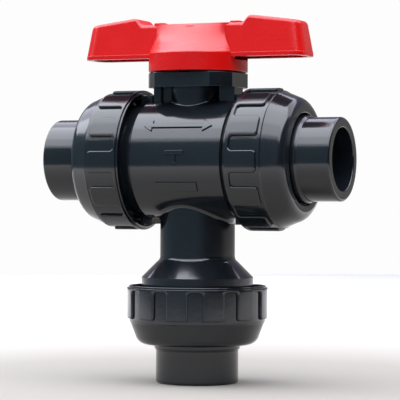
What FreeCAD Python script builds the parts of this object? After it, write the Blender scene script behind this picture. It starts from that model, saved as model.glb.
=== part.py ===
"""Three way true-union ball valve for DN 20 pipe, in millimetres.

The valve is modelled as the pieces that it comes apart into. The row frame stands on the bottom
socket's mouth: +Z is up along the stem, +X runs along the barrel to the right hand port, and the
origin is the centre of the bottom mouth. The pieces are drawn about the ball's centre, and one
move at the end lifts them all into the row frame.

Each port's pieces are turned about +Z in a port frame, where z is the distance from the ball's
centre line outwards, and are then laid along +X, -X or -Z.
"""
import FreeCAD
import Part

import math
import os

Vec = FreeCAD.Vector

# ---- driving dimensions --------------------------------------------------------------------
SOCKET_R = 12.65          # pipe socket for 25 mm pipe, at its mouth
SOCKET_DEPTH = 19.0
FLOW_R = 10.0             # DN 20 way through the valve
FACE_TO_CENTRE = 62.75    # ball centre to a side socket's mouth
BRANCH_EXTRA = 27.9       # how much longer the branch is than a side port
BALL_R = 18.0
NUT_R = 28.7              # over the grip pads
BARREL_R = 24.0
BRANCH_R = 15.2
PITCH = 4.0               # union thread
CLEAR = 0.45              # between union threads, radially
FIT = 0.05                # running clearance of the stem
GAP = 0.1                 # between the ball and its seats

# ---- port, from the ball's centre line outwards ---------------------------------------------
BARREL_END = 20.0         # shoulder where the barrel stops and the threaded neck starts
BODY_END = 35.0
THREAD_CORE_R = 22.7
THREAD_CREST_R = 24.3
THREAD_START = 24.2
THREAD_TURNS = 2.4
THREAD_ROOT_W = 2.2
THREAD_CREST_W = 1.2
LUG_R = 26.2              # side lugs beside the threaded neck, inside the nut's rim
LUG_HALF_W = 4.5
LUG_LENGTH = 3.6
CARRIER_R = 20.2
CARRIER_BORE_R = 20.3
CHAMBER_R = 18.8          # room for the ball
CHAMBER_HALF = 18.5

SEAT_IN_R = 10.2
SEAT_OUT_R = 12.7
SEAT_BACK = 16.4
CUSHION_R = 0.7
RING_R = 0.95             # section radius of the larger O-rings
NOSE_R = 15.4
NOSE_FRONT = 13.4
NOTCH_IN_R = 14.3
NOTCH_OUT_R = 19.4
NOTCH_W = 5.4
NOTCH_DEPTH = 3.4
CARRIER_RING_Z = 22.0
BRANCH_RING_Z = 28.0

# ---- union nut -------------------------------------------------------------------------------
NUT_START = 23.1
BAND_END = 36.5           # where the grip pads stop
NUT_END = 47.0
PADS = 12
SLOT_DEG = 12.0
SLOT_START = 25.1
SLOT_FLOOR_R = 27.7
RING_END = 37.8           # plain ring between the pads and the dome
DOME_START = (26.9, 38.6)
DOME_SIDE = ((26.05, 41.2), (25.2, 43.4))
DOME_SHOULDER = ((24.1, 45.4), (20.8, 47.0))
RIM_BORE_R = 27.0
NUT_HOLE_R = 18.5
NUT_ROOM_END = 37.2       # where the threaded room narrows towards the flange
NUT_TURNS = 2.0
FLANGE_R = 21.0
FLANGE_START = 35.3
FLANGE_END = 41.9
FLANGE_ROOM = 0.5         # around the flange
FACE_GROOVE_R = 12.2      # centre line of the O-ring between carrier and connector
FACE_GROOVE_DEPTH = 1.7
SHOULDER_R = 17.5
SHOULDER_END = 48.6
SOCKET_OUT_R = 16.8
LIP_ROUND = 1.0

# ---- branch ----------------------------------------------------------------------------------
FLARE_TOP = -40.6
FLARE_BOTTOM = -47.7
FLARE_RIM = -50.3
BRANCH_FILLET = 2.0       # where the branch meets the barrel
SLEEVE_R = 12.8           # long tube of the bottom carrier
SLEEVE_BORE_R = 12.9

# ---- stem and its housing ------------------------------------------------------------------
STEM_R = 7.0
HOUSING_R = 11.0
HOUSING_TOP = 29.15
HOUSING_FILLET = 1.2
STEM_FLANGE_R = 9.5
POCKET_R = 9.8
WASHER_BOTTOM = 21.4
WASHER_TOP = 22.2
STEM_FOOT = 18.9
TONGUE_W = 6.0
TONGUE_L = 15.0
SLOT_BOTTOM = 14.6
SHANK = 10.0              # square of the stem's top
SHANK_TOP = 51.5
STEM_RING_R = 0.8
STEM_RING_Z = (24.6, 28.0)
WEB_HALF_L = 17.9         # web along the barrel's crest, from pillar to pillar
WEB_HALF_W = 3.0
PILLAR_L = 3.2
PILLAR_HALF_W = 4.4

# ---- stop plate and handle -------------------------------------------------------------------
PLATE_R = 20.2
PLATE_TOP = 35.25
PLATE_FLAT_X = 18.5
PLATE_FLAT_Y = 16.4
BOSS_R = 10.6
BOSS_FLAT = 8.8
TRACK_IN_R = 13.4
TRACK_OUT_R = 15.4
TRACK_FLOOR = 32.65
LUG_GAP = 0.3             # around the stop lug in its track
LUG_HALF_DEG = 9.0
LUG_MIDDLE_DEG = -90.0    # the stop lug at rest, seen from above
TRACK_SLACK_DEG = 1.0
HANDLE_TRAVEL_DEG = 180.0

SKIRT_BOTTOM = 35.55
RIDGE_Z = 42.9
HUB_TOP = 55.0
HUB_TOP_X = 17.4
HUB_TOP_Y = 8.1
HUB_TOP_CORNER = 3.0
WING_BOTTOM = 41.2
LIP_H = 1.5
WING_PEAK = 58.0
WING_PEAK_X = 24.8
WING_FOOT_X = 22.4
WING_TIP_TOP = 54.9
WING_HALF_L = 48.3
WING_HALF_W = 9.0
WING_CORNER = 5.5
DRAFT_L = 2.1             # how much shorter each wing is at its peak than at its lip
DRAFT_W = 1.3
WALL = 2.3
BOSS_OUT_R = 9.0
RIB_HALF = 0.9
TAB_IN = 14.6
TAB_OUT = 19.0
TAB_W = 4.4
TAB_H = 1.2

LIFT = FACE_TO_CENTRE + BRANCH_EXTRA


# ---- helpers -----------------------------------------------------------------------------------
def tube(outer_r, inner_r, low, high):
    """Ring about +Z between two heights; a zero inner radius gives a disc."""
    ring = Part.makeCylinder(outer_r, high - low, Vec(0, 0, low))
    if inner_r > 0:
        ring = ring.cut(Part.makeCylinder(inner_r, high - low + 2, Vec(0, 0, low - 1)))
    return ring


def turned(profile):
    """Solid turned about +Z from (radius, height) points; three points in a tuple are an arc."""
    edges = []
    last = None
    for item in profile + [profile[0]]:
        if isinstance(item[0], tuple):
            middle, end = (Vec(r, 0, z) for r, z in item)
            edges.append(Part.Arc(last, middle, end).toShape())
        else:
            end = Vec(item[0], 0, item[1])
            if last is not None and last.distanceToPoint(end) > 1e-6:
                edges.append(Part.LineSegment(last, end).toShape())
        last = end
    return Part.Face(Part.Wire(edges)).revolve(Vec(0, 0, 0), Vec(0, 0, 1), 360)


def o_ring(centre_r, section_r, height):
    return Part.makeTorus(centre_r, section_r, Vec(0, 0, height), Vec(0, 0, 1))


def block(x_low, x_high, y_low, y_high, z_low, z_high):
    return Part.makeBox(x_high - x_low, y_high - y_low, z_high - z_low, Vec(x_low, y_low, z_low))


def spun(shape, degrees):
    turned_copy = shape.copy()
    turned_copy.rotate(Vec(0, 0, 0), Vec(0, 0, 1), degrees)
    return turned_copy


def mirrored_pair(shape):
    return shape.fuse(spun(shape, 180))


def ridge(base_r, tip_r, start, turns):
    """Right-hand thread ridge about +Z, standing out or in from base_r to tip_r."""
    root = THREAD_ROOT_W / 2
    crest = THREAD_CREST_W / 2
    profile = Part.makePolygon([Vec(base_r, 0, start - root), Vec(tip_r, 0, start - crest),
                                Vec(tip_r, 0, start + crest), Vec(base_r, 0, start + root),
                                Vec(base_r, 0, start - root)])
    helix = Part.makeHelix(PITCH, PITCH * turns, base_r)
    helix.translate(Vec(0, 0, start))
    return Part.Wire(helix.Edges).makePipeShell([profile], True, True)


def to_right(shape):
    placed = shape.copy()
    placed.rotate(Vec(0, 0, 0), Vec(0, 1, 0), 90)
    return placed


def to_left(shape):
    placed = shape.copy()
    placed.rotate(Vec(0, 0, 0), Vec(0, 1, 0), -90)
    return placed


def to_bottom(shape):
    placed = shape.copy()
    placed.rotate(Vec(0, 0, 0), Vec(1, 0, 0), 180)
    placed.translate(Vec(0, 0, -BRANCH_EXTRA))
    return placed


# name, placement, and the angle of the nut's first slot, chosen as the nuts stand when tight
PORTS = (("left", to_left, 12.6), ("right", to_right, 17.4), ("bottom", to_bottom, 8.0))


# ---- body --------------------------------------------------------------------------------------
def end_bore():
    """The room inside a side port, for the carrier and half of the ball."""
    carrier_room = tube(CARRIER_BORE_R, 0, CHAMBER_HALF, BODY_END + 1)
    return carrier_room.fuse(tube(CHAMBER_R, 0, -1, CHAMBER_HALF))


def side_neck():
    neck = tube(THREAD_CORE_R, 0, 0, BODY_END)
    thread = ridge(THREAD_CORE_R - 0.3, THREAD_CREST_R, THREAD_START, THREAD_TURNS)
    lug = block(BARREL_R - 2, LUG_R, -LUG_HALF_W, LUG_HALF_W, BARREL_END - 1.5, BARREL_END + LUG_LENGTH)
    return neck.fuse(thread).fuse(mirrored_pair(lug))


def branch():
    """The lower branch in its port frame: a pipe that flares to the union's thread."""
    shift = BRANCH_EXTRA
    outline = [(0, -shift), (BRANCH_R, -shift), (BRANCH_R, -FLARE_TOP - shift - 1.5),
               ((BRANCH_R + 0.35, -FLARE_TOP - shift - 0.2), (BRANCH_R + 1.3, -FLARE_TOP - shift + 0.8)),
               (THREAD_CORE_R + 0.05, -FLARE_BOTTOM - shift), (THREAD_CORE_R + 0.05, -FLARE_RIM - shift),
               (THREAD_CORE_R, -FLARE_RIM - shift), (THREAD_CORE_R, BODY_END), (0, BODY_END)]
    thread = ridge(THREAD_CORE_R - 0.3, THREAD_CREST_R, THREAD_START, THREAD_TURNS)
    return turned(outline).fuse(thread)


def branch_bore():
    shift = BRANCH_EXTRA
    flange_seat = BODY_END - 9.9
    carrier_room = tube(CARRIER_BORE_R, 0, flange_seat, BODY_END + 1)
    return carrier_room.fuse(tube(SLEEVE_BORE_R, 0, -shift, BODY_END))


def stem_housing():
    """Round housing of the stem, with a web and two pillars that carry the stop plate."""
    web = block(-WEB_HALF_L, WEB_HALF_L, -WEB_HALF_W, WEB_HALF_W, 18, HOUSING_TOP)
    pillar = block(WEB_HALF_L - PILLAR_L, WEB_HALF_L, -PILLAR_HALF_W, PILLAR_HALF_W, 16, HOUSING_TOP)
    boss = tube(BOSS_R, 0, HOUSING_TOP, PLATE_TOP - 0.2)
    boss = boss.common(block(-BOSS_R, BOSS_R, -BOSS_FLAT, BOSS_FLAT, HOUSING_TOP - 1, PLATE_TOP))
    housing = tube(HOUSING_R, 0, 15, HOUSING_TOP)
    return housing.fuse([web, pillar, spun(pillar, 180), boss])


def saddle_edges(solid, z_low, z_high):
    """The curves where two round parts of the body run into each other, between two heights."""
    found = []
    for edge in solid.Edges:
        box = edge.BoundBox
        free_form = edge.Curve.TypeId == "Part::GeomBSplineCurve"
        on_barrel = max(-box.XMin, box.XMax) < BARREL_END - 1
        if free_form and on_barrel and z_low < box.ZMin < box.ZMax < z_high:
            found.append(edge)
    return found


def body():
    barrel = Part.makeCylinder(BARREL_R, 2 * BARREL_END, Vec(-BARREL_END, 0, 0), Vec(1, 0, 0))
    rims = [edge for edge in barrel.Edges if edge.Curve.TypeId == "Part::GeomCircle"]
    barrel = barrel.makeChamfer(0.5, rims)
    solid = barrel.fuse([to_left(side_neck()), to_right(side_neck()), to_bottom(branch()), stem_housing()])
    solid = solid.makeFillet(BRANCH_FILLET, saddle_edges(solid, -BARREL_R - 1, 0))
    solid = solid.makeFillet(HOUSING_FILLET, saddle_edges(solid, BRANCH_R, BARREL_R + 0.5))
    rooms = [to_left(end_bore()), to_right(end_bore()), to_bottom(branch_bore()),
             tube(POCKET_R, 0, 0, WASHER_TOP + FIT), tube(STEM_R + FIT, 0, 0, PLATE_TOP + 1)]
    return solid.cut(rooms)


# ---- ball, seats and carriers ------------------------------------------------------------------
def ball():
    """L-port ball: one way down to the branch, one way to the right hand port."""
    sphere = Part.makeSphere(BALL_R)
    down = tube(FLOW_R, 0, -BALL_R - 1, 0)
    across = to_right(tube(FLOW_R, 0, 0, BALL_R + 1))
    slot = block(-TONGUE_L / 2 - 0.5, TONGUE_L / 2 + 0.5, -TONGUE_W / 2 - 0.1, TONGUE_W / 2 + 0.1,
                 SLOT_BOTTOM, BALL_R + 1)
    return sphere.cut([down, across, Part.makeSphere(FLOW_R), slot])


def seat():
    ring = tube(SEAT_OUT_R, SEAT_IN_R, BALL_R / 2, SEAT_BACK)
    return ring.cut(Part.makeSphere(BALL_R + GAP))


def cushion():
    return o_ring((SEAT_IN_R + SEAT_OUT_R) / 2, CUSHION_R, SEAT_BACK + CUSHION_R)


def cushion_groove():
    middle = (SEAT_IN_R + SEAT_OUT_R) / 2
    return tube(middle + CUSHION_R, middle - CUSHION_R, SEAT_BACK - 1, SEAT_BACK + 2 * CUSHION_R)


def ring_groove(outer_r, height):
    """Groove for a larger O-ring in the outside of a cylinder."""
    return tube(outer_r + 1, outer_r - 2 * RING_R, height - 1.2, height + 1.2)


def notches():
    """Two notches in a carrier's outer face, which the handle's tabs turn it by."""
    notch = block(NOTCH_IN_R, NOTCH_OUT_R, -NOTCH_W / 2, NOTCH_W / 2, BODY_END - NOTCH_DEPTH, BODY_END + 1)
    return mirrored_pair(notch)


def side_carrier():
    outline = [(FLOW_R, SEAT_BACK), (SEAT_OUT_R + 0.1, SEAT_BACK), (SEAT_OUT_R + 0.1, NOSE_FRONT),
               (NOSE_R, NOSE_FRONT), (NOSE_R, CHAMBER_HALF + 0.1), (CARRIER_R, CHAMBER_HALF + 0.1),
               (CARRIER_R, BODY_END), (FLOW_R, BODY_END)]
    return turned(outline).cut([cushion_groove(), ring_groove(CARRIER_R, CARRIER_RING_Z), notches()])


def branch_carrier():
    """The branch's carrier reaches up its pipe, because the seat is close under the ball."""
    seat_back = SEAT_BACK - BRANCH_EXTRA
    flange_low = BODY_END - 9.8
    outline = [(FLOW_R, seat_back), (SLEEVE_R, seat_back), (SLEEVE_R, flange_low),
               (CARRIER_R, flange_low), (CARRIER_R, BODY_END), (FLOW_R, BODY_END)]
    groove = cushion_groove()
    groove.translate(Vec(0, 0, -BRANCH_EXTRA))
    return turned(outline).cut([groove, ring_groove(CARRIER_R, BRANCH_RING_Z), notches()])


# ---- unions ------------------------------------------------------------------------------------
def connector():
    mouth = FACE_TO_CENTRE
    bore_end = mouth - SOCKET_DEPTH
    bend = 0.3 * LIP_ROUND
    outline = [(FLOW_R, FLANGE_START), (FLANGE_R - 0.4, FLANGE_START), (FLANGE_R, FLANGE_START + 0.4),
               (FLANGE_R, FLANGE_END), (SHOULDER_R, FLANGE_END), (SHOULDER_R, SHOULDER_END),
               (SOCKET_OUT_R, SHOULDER_END + 0.7), (SOCKET_OUT_R, mouth - LIP_ROUND),
               ((SOCKET_OUT_R - bend, mouth - bend), (SOCKET_OUT_R - LIP_ROUND, mouth)),
               (SOCKET_R, mouth), (SOCKET_R, bore_end), (FLOW_R, bore_end)]
    groove = tube(FACE_GROOVE_R + RING_R, FACE_GROOVE_R - RING_R,
                  FLANGE_START - 1, FLANGE_START + FACE_GROOVE_DEPTH)
    return turned(outline).cut(groove)


def face_ring():
    return o_ring(FACE_GROOVE_R, RING_R, FLANGE_START + FACE_GROOVE_DEPTH - RING_R)


def nut(slot_angle):
    """Union nut: threaded inside, twelve grip pads round it and a domed end."""
    thread_root = THREAD_CREST_R + CLEAR
    room_r = FLANGE_R + FLANGE_ROOM
    outline = [(RIM_BORE_R, NUT_START), (NUT_R - 0.5, NUT_START), (NUT_R, NUT_START + 0.5),
               (NUT_R, BAND_END), (SLOT_FLOOR_R, BAND_END), (SLOT_FLOOR_R - 0.05, RING_END),
               (SLOT_FLOOR_R - 0.4, RING_END + 0.3), DOME_START, DOME_SIDE, DOME_SHOULDER,
               (NUT_HOLE_R + 0.5, NUT_END), (NUT_HOLE_R, NUT_END - 0.5), (NUT_HOLE_R, FLANGE_END + 0.2),
               (room_r, FLANGE_END + 0.2), (room_r, DOME_START[1]), (thread_root, NUT_ROOM_END),
               (thread_root, SLOT_START + 0.3), (RIM_BORE_R, SLOT_START - 0.2)]
    shell = turned(outline)
    thread = ridge(thread_root + 0.3, THREAD_CORE_R + CLEAR, THREAD_START + PITCH / 2, NUT_TURNS)
    shell = shell.fuse(thread)
    ring = tube(NUT_R + 2, SLOT_FLOOR_R, SLOT_START, BAND_END + 0.2)
    slots = []
    for index in range(PADS):
        wedge = Part.makeCylinder(NUT_R + 3, 20, Vec(0, 0, SLOT_START - 1), Vec(0, 0, 1), SLOT_DEG)
        slots.append(ring.common(spun(wedge, slot_angle + index * 360 / PADS - SLOT_DEG / 2)))
    return shell.cut(slots)


# ---- stem ----------------------------------------------------------------------------------------
def stem():
    flange = tube(STEM_FLANGE_R, 0, STEM_FOOT, WASHER_BOTTOM)
    tongue = block(-TONGUE_L / 2, TONGUE_L / 2, -TONGUE_W / 2, TONGUE_W / 2, SLOT_BOTTOM + 0.1, STEM_FOOT + 0.5)
    shaft = tube(STEM_R, 0, WASHER_BOTTOM, PLATE_TOP + 0.3)
    half = SHANK / 2
    shank = block(-half, half, -half, half, PLATE_TOP, SHANK_TOP)
    shank = shank.common(tube(STEM_R - 0.2, 0, PLATE_TOP - 1, SHANK_TOP))
    tongue = tongue.common(Part.makeSphere(BALL_R + 3))
    grooves = [tube(STEM_R + 1, STEM_R - 2 * STEM_RING_R, z - 1.0, z + 1.0) for z in STEM_RING_Z]
    return flange.fuse([tongue, shaft, shank]).cut(grooves)


def stem_washer():
    return tube(POCKET_R - 0.2, STEM_R + 0.15, WASHER_BOTTOM + 0.02, WASHER_TOP)


def stem_ring(height):
    return o_ring(STEM_R - STEM_RING_R, STEM_RING_R, height)


# ---- stop plate and handle -----------------------------------------------------------------------
def sector(outer_r, inner_r, low, high, start_deg, sweep_deg):
    wedge = Part.makeCylinder(outer_r, high - low, Vec(0, 0, low), Vec(0, 0, 1), sweep_deg)
    core = Part.makeCylinder(inner_r, high - low + 2, Vec(0, 0, low - 1))
    return spun(wedge.cut(core), start_deg)


def stop_plate():
    """Plate under the handle, with the track that the handle's stop lug runs in."""
    plate = tube(PLATE_R, 0, HOUSING_TOP, PLATE_TOP)
    plate = plate.common(block(-PLATE_FLAT_X, PLATE_FLAT_X, -PLATE_FLAT_Y, PLATE_FLAT_Y, 0, 60))
    hole = tube(BOSS_R + 0.1, 0, HOUSING_TOP - 1, PLATE_TOP + 1)
    hole = hole.common(block(-BOSS_R - 1, BOSS_R + 1, -BOSS_FLAT - 0.1, BOSS_FLAT + 0.1, 0, 60))
    reach = LUG_HALF_DEG + TRACK_SLACK_DEG
    track = sector(TRACK_OUT_R, TRACK_IN_R, TRACK_FLOOR, PLATE_TOP + 1,
                   LUG_MIDDLE_DEG - reach, HANDLE_TRAVEL_DEG + 2 * reach)
    return plate.cut([hole, track])


def oblong(half_x, half_y, corner, height):
    """Rounded rectangle wire of four sides and four corner arcs, from the right side onwards."""
    edges = []
    straight_x = half_x - corner
    straight_y = half_y - corner
    middles = ((straight_x, straight_y, 0), (-straight_x, straight_y, 90),
               (-straight_x, -straight_y, 180), (straight_x, -straight_y, 270))
    last = Vec(half_x, -straight_y, height)
    for x, y, start in middles:
        turns = [math.radians(start + turn) for turn in (0, 45, 90)]
        points = [Vec(x + corner * math.cos(turn), y + corner * math.sin(turn), height) for turn in turns]
        edges.append(Part.LineSegment(last, points[0]).toShape())
        edges.append(Part.Arc(*points).toShape())
        last = points[2]
    return Part.Wire(edges)


def split_circle(radius, degrees, height):
    """Circle wire cut at the given angles, so that it lofts to an oblong edge by edge."""
    def at(angle):
        turn = math.radians(angle)
        return Vec(radius * math.cos(turn), radius * math.sin(turn), height)

    edges = []
    for start, end in zip(degrees, degrees[1:] + [degrees[0] + 360]):
        edges.append(Part.Arc(at(start), at((start + end) / 2), at(end)).toShape())
    return Part.Wire(edges)


def roof(drop):
    """Side outline of the handle's top, pulled down by a wall's thickness for its inside."""
    foot = WING_FOOT_X + drop * 0.8
    peak = WING_PEAK_X + drop * 0.8
    far = WING_HALF_L + 1
    tip = WING_TIP_TOP - (WING_PEAK - WING_TIP_TOP) / (WING_HALF_L - WING_PEAK_X)
    points = [(-far, 30), (far, 30), (far, tip - drop), (peak, WING_PEAK - drop), (foot, HUB_TOP - drop),
              (-foot, HUB_TOP - drop), (-peak, WING_PEAK - drop), (-far, tip - drop), (-far, 30)]
    face = Part.Face(Part.makePolygon([Vec(x, -30, z) for x, z in points]))
    return face.extrude(Vec(0, 60, 0))


def wing(inset):
    """Both wings as one drafted bar with a short upright lip under it."""
    half_l = WING_HALF_L - inset
    half_w = WING_HALF_W - inset
    corner = WING_CORNER - inset / 2
    bend = WING_BOTTOM + LIP_H
    lip = Part.Face(oblong(half_l, half_w, corner, WING_BOTTOM)).extrude(Vec(0, 0, LIP_H))
    low = oblong(half_l, half_w, corner, bend)
    high = oblong(half_l - DRAFT_L, half_w - DRAFT_W, corner - 1.0, WING_PEAK)
    return lip.fuse(Part.makeLoft([low, high], True, True))


def hub(inset):
    """The middle: a round skirt, and shoulders that slope up to the wings' top edges."""
    radius = PLATE_R - inset
    corners = [-8, 8, 30, 150, 172, 188, 210, 330]
    low = split_circle(radius, corners, RIDGE_Z)
    high = oblong(HUB_TOP_X - inset, HUB_TOP_Y - inset / 2, HUB_TOP_CORNER, HUB_TOP)
    shoulders = Part.makeLoft([low, high], True, True)
    skirt = Part.makeCylinder(radius, RIDGE_Z - SKIRT_BOTTOM, Vec(0, 0, SKIRT_BOTTOM))
    return skirt.fuse(shoulders)


def handle():
    """Thin shell, open underneath, with the stem's socket, two ribs, the stop lug and two tabs."""
    outside = wing(0).fuse(hub(0)).common(roof(0))
    hollow = wing(WALL).fuse(hub(WALL)).common(roof(WALL))
    below = Part.makeCylinder(PLATE_R - WALL, 6, Vec(0, 0, SKIRT_BOTTOM - 3))
    wing_open = wing(WALL)
    wing_open.translate(Vec(0, 0, -LIP_H))
    shell = outside.cut([hollow, below, wing_open.common(roof(WALL))])
    boss = tube(BOSS_OUT_R, 0, SKIRT_BOTTOM + 0.4, HUB_TOP - 1)
    rib = block(-WING_HALF_L + 3, WING_HALF_L - 3, -RIB_HALF, RIB_HALF, 47.0, 56.0).common(roof(WALL - 0.5))
    cross = block(-RIB_HALF, RIB_HALF, -PLATE_R + 2, PLATE_R - 2, 40.0, 54.0).common(hub(1.0))
    lug_start = LUG_MIDDLE_DEG - LUG_HALF_DEG
    lug_r = TRACK_IN_R + LUG_GAP
    lug = sector(TRACK_OUT_R - LUG_GAP, lug_r, TRACK_FLOOR + 0.4, RIDGE_Z, lug_start, 2 * LUG_HALF_DEG)
    lug_root = sector(PLATE_R - 1, lug_r, SKIRT_BOTTOM, RIDGE_Z, lug_start, 2 * LUG_HALF_DEG)
    tab = block(TAB_IN, TAB_OUT, -TAB_W / 2, TAB_W / 2, HUB_TOP - 1, HUB_TOP + TAB_H)
    half = SHANK / 2 + 0.1
    socket = block(-half, half, -half, half, 30, SHANK_TOP + 0.4)
    socket = socket.common(Part.makeCylinder(STEM_R - 0.1, 30, Vec(0, 0, 30)))
    return shell.fuse([boss, rib, cross, lug, lug_root, tab, spun(tab, 180)]).cut(socket)


# ---- assembly ------------------------------------------------------------------------------------
def pieces():
    yield "body", body()
    yield "ball", ball()
    yield "stem", stem()
    yield "stem_washer", stem_washer()
    yield "stem_o_ring_lower", stem_ring(STEM_RING_Z[0])
    yield "stem_o_ring_upper", stem_ring(STEM_RING_Z[1])
    yield "stop_plate", stop_plate()
    yield "handle", handle()
    for name, place, slot_angle in PORTS:
        carrier, ring_z, lift = side_carrier(), CARRIER_RING_Z, Vec(0, 0, 0)
        if name == "bottom":
            carrier, ring_z, lift = branch_carrier(), BRANCH_RING_Z, Vec(0, 0, -BRANCH_EXTRA)
        carrier_ring = o_ring(CARRIER_R - RING_R, RING_R, ring_z)
        seat_ring, cushion_ring = seat(), cushion()
        seat_ring.translate(lift)
        cushion_ring.translate(lift)
        yield name + "_carrier", place(carrier)
        yield name + "_carrier_o_ring", place(carrier_ring)
        yield name + "_seat", place(seat_ring)
        yield name + "_seat_cushion", place(cushion_ring)
        yield name + "_connector", place(connector())
        yield name + "_face_o_ring", place(face_ring())
        yield name + "_nut", place(nut(slot_angle))


os.makedirs("parts", exist_ok=True)
for node, shape in pieces():
    shape.translate(Vec(0, 0, LIFT))
    shape.exportStep("parts/" + node + ".step")
    box = shape.BoundBox
    print("%-24s solids %d valid %s volume %8.1f  z %.2f..%.2f" %
          (node, len(shape.Solids), shape.isValid(), shape.Volume, box.ZMin, box.ZMax))
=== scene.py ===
# %% [markdown]
# # A three way union ball valve in moulded plastic
#
# The valve is a tee shaped body of grey uPVC with a pipe union on each of its three ports. A red
# lever on top turns an L-port ball, which joins the bottom port to the left or to the right one.
# This lesson takes the engineering model as a fixed frame, in metres, and builds what the eye sees
# around it: the union nuts, the pipe sockets, the stop plate, the lever, the moulded marks and all
# the finishes. Pieces deep inside keep their engineering shape and only get a finish here.

import math

import bpy
from mathutils import Matrix, Vector


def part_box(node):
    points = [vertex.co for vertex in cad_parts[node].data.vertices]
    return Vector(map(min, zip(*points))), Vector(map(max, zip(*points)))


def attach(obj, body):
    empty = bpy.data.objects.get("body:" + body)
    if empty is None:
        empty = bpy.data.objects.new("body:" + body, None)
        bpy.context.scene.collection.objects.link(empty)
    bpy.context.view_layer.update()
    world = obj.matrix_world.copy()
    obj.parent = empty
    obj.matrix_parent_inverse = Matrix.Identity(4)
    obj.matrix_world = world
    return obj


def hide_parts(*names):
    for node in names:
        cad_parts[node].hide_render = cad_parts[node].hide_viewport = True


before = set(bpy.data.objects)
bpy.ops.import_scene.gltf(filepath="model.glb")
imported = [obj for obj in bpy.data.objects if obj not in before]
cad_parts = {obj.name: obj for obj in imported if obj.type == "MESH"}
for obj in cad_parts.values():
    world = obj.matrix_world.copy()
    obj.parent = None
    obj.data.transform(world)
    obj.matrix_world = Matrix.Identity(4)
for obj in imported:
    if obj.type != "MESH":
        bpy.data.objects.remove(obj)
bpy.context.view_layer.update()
bpy.ops.object.select_all(action="DESELECT")

# %% [markdown]
# ## Sizes that the whole lesson uses
#
# The frame knows where everything is, so the main sizes are read from it and not typed in again.
# A port is described by the distance outwards from the ball's centre, which is how a fitting
# drawing is dimensioned. The bottom port sits on a longer branch, so it is the same union moved
# further out.

# %% Driving sizes, read from the frame
MM = 0.001
WELD = 0.002 * MM          # points nearer than this are one point
NEAR = 0.01                # mm; places nearer than this count as the same when something is picked
ROUGHLY = 0.1              # mm; the same for places on a curve or a slope


def size_of(node):
    """Lowest and highest corner of an engineering node, in millimetres."""
    low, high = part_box(node)
    return low / MM, high / MM


nut_low, nut_high = size_of("right_nut")
NUT_R = (nut_high.z - nut_low.z) / 2
NUT_START = nut_low.x
NUT_END = 47.0             # the end face; the node's box also holds a trace of its rounding
CENTRE_Z = (nut_high.z + nut_low.z) / 2
socket_low, socket_high = size_of("right_connector")
MOUTH = socket_high.x
FLANGE_START = socket_low.x
FLANGE_R = (socket_high.z - socket_low.z) / 2
BRANCH_EXTRA = CENTRE_Z - MOUTH
plate_low, plate_high = size_of("stop_plate")
handle_high = size_of("handle")[1]
print("ball centre %.2f mm up, union nut %.1f mm across" % (CENTRE_Z, 2 * NUT_R))

# %% [markdown]
# ## Small helpers
#
# Every shape below is made the way a person makes it: start from a primitive, go into edit mode,
# pick faces or edges by where they are, and extrude, bevel or spin them. These helpers keep that
# readable. All lengths go in as millimetres, and the tests that pick things see millimetres too.

# %% Picking and finishing helpers


def alone(piece):
    """Makes one piece the only selected one and the active one."""
    bpy.ops.object.select_all(action="DESELECT")
    piece.select_set(True)
    bpy.context.view_layer.objects.active = piece


def clear_choice(piece, kind):
    """Leaves the piece in object mode with nothing of its mesh selected."""
    alone(piece)
    bpy.ops.object.mode_set(mode="EDIT")
    bpy.ops.mesh.select_mode(type=kind)
    bpy.ops.mesh.select_all(action="DESELECT")
    bpy.ops.object.mode_set(mode="OBJECT")


def pick_points(piece, test):
    """Selects the vertices whose place passes the test, and enters edit mode."""
    clear_choice(piece, "VERT")
    for vertex in piece.data.vertices:
        vertex.select = test(vertex.co / MM)
    bpy.ops.object.mode_set(mode="EDIT")


def pick_edges(piece, test):
    """Selects the edges whose two ends pass the test, and enters edit mode."""
    clear_choice(piece, "EDGE")
    points = piece.data.vertices
    for edge in piece.data.edges:
        first, second = edge.vertices
        edge.select = test(points[first].co / MM, points[second].co / MM)
    bpy.ops.object.mode_set(mode="EDIT")


def pick_faces(piece, test):
    """Selects the faces whose middle and normal pass the test, and enters edit mode."""
    clear_choice(piece, "FACE")
    for face in piece.data.polygons:
        face.select = test(face.center / MM, face.normal)
    bpy.ops.object.mode_set(mode="EDIT")


def out_of_edit():
    bpy.ops.object.mode_set(mode="OBJECT")


def tidy_mesh(piece):
    """Welds doubled points and turns all faces outwards."""
    alone(piece)
    bpy.ops.object.mode_set(mode="EDIT")
    bpy.ops.mesh.select_all(action="SELECT")
    bpy.ops.mesh.remove_doubles(threshold=WELD)
    bpy.ops.mesh.normals_make_consistent(inside=False)
    out_of_edit()


def into_place(piece, place):
    """Puts a piece at a place and writes that place into its mesh, so its object stays at the origin."""
    piece.matrix_world = place
    alone(piece)
    bpy.ops.object.transform_apply(location=True, rotation=True, scale=True)


def apply_modifier(piece, kind, **settings):
    """Adds a modifier with its settings and applies it."""
    alone(piece)
    modifier = piece.modifiers.new(kind.lower(), kind)
    for name, value in settings.items():
        setattr(modifier, name, value)
    bpy.ops.object.modifier_apply(modifier=modifier.name)


def combine(piece, other, how):
    """Adds one solid to another, cuts it away or keeps what both share; the other one is used up."""
    apply_modifier(piece, "BOOLEAN", operation=how, object=other, solver="EXACT")
    bpy.data.objects.remove(other)


def moulded_shading(piece, crease_deg=32):
    """Smooth shading that keeps real corners, with flat faces shaded flat."""
    alone(piece)
    bpy.ops.object.shade_smooth_by_angle(angle=math.radians(crease_deg))
    apply_modifier(piece, "WEIGHTED_NORMAL", keep_sharp=True)


def report(piece):
    print("%-24s %6d faces" % (piece.name, len(piece.data.polygons)))


def radius(point):
    return math.hypot(point.x, point.y)


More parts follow.
